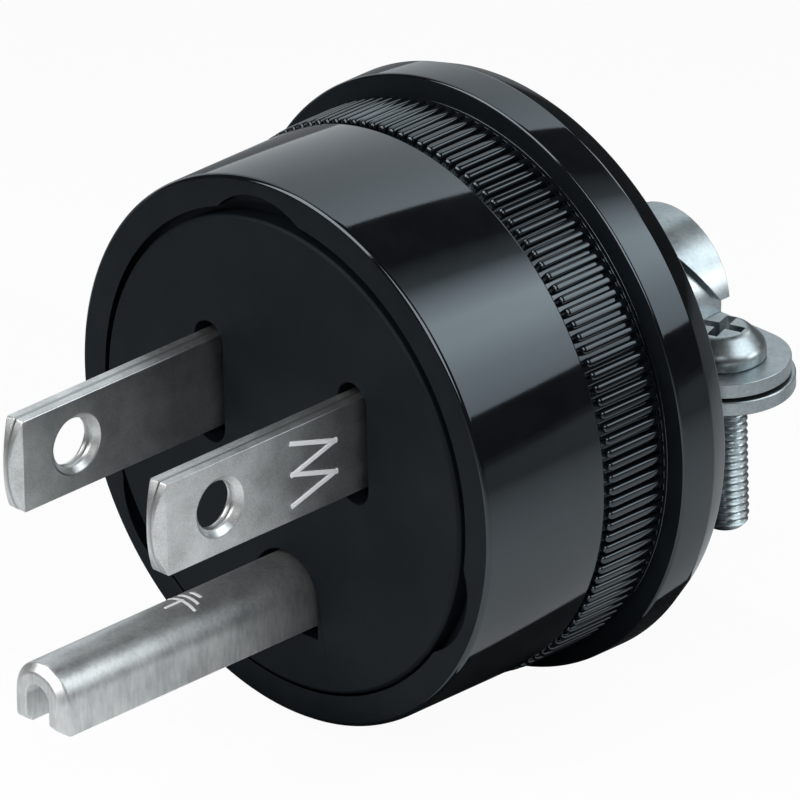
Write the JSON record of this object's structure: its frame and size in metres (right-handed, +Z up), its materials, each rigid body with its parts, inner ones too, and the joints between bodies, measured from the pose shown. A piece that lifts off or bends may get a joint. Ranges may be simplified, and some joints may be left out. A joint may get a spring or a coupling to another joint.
{
  "type": "type b plug",
  "caption": "Round black rewirable type B plug: knurled cup with a grip flange, flat blades with round holes, a folded earth pin and a screwed metal cord clamp behind.",
  "frame": {"origin": "the centre of the mating face, on the plug's axis, at the front of the insulating disc", "axes": "+Y runs along the axis from the prongs to the cord, +Z is up with the earth pin below the blades, +X is the neutral blade's side"},
  "size_m": [0.0388, 0.055, 0.0388],
  "materials": {
    "phenolic": "polished black phenolic moulding",
    "fibre": "dark matt insulating board",
    "nickel": "satin nickel plate with a fine grain",
    "zinc": "bright zinc plate, faintly blue-green",
    "brass": "plain machined brass"
  },
  "bodies": {
    "root": {"body": "phenolic", "insulating_disc": "fibre", "neutral_blade": "nickel", "line_blade": "nickel", "earth_pin": "nickel", "neutral_terminal_screw": "brass", "neutral_wire_washer": "brass", "neutral_fixing_screw": "brass", "line_terminal_screw": "brass", "line_wire_washer": "brass", "line_fixing_screw": "brass", "earth_terminal_screw": "brass", "earth_wire_washer": "brass", "earth_fixing_screw": "brass", "clamp_upper_saddle": "zinc", "clamp_lower_saddle": "zinc", "clamp_screw_right": "zinc", "clamp_screw_left": "zinc", "clamp_foot_screw_right": "zinc", "clamp_foot_screw_left": "zinc"}
  },
  "joints": []
}
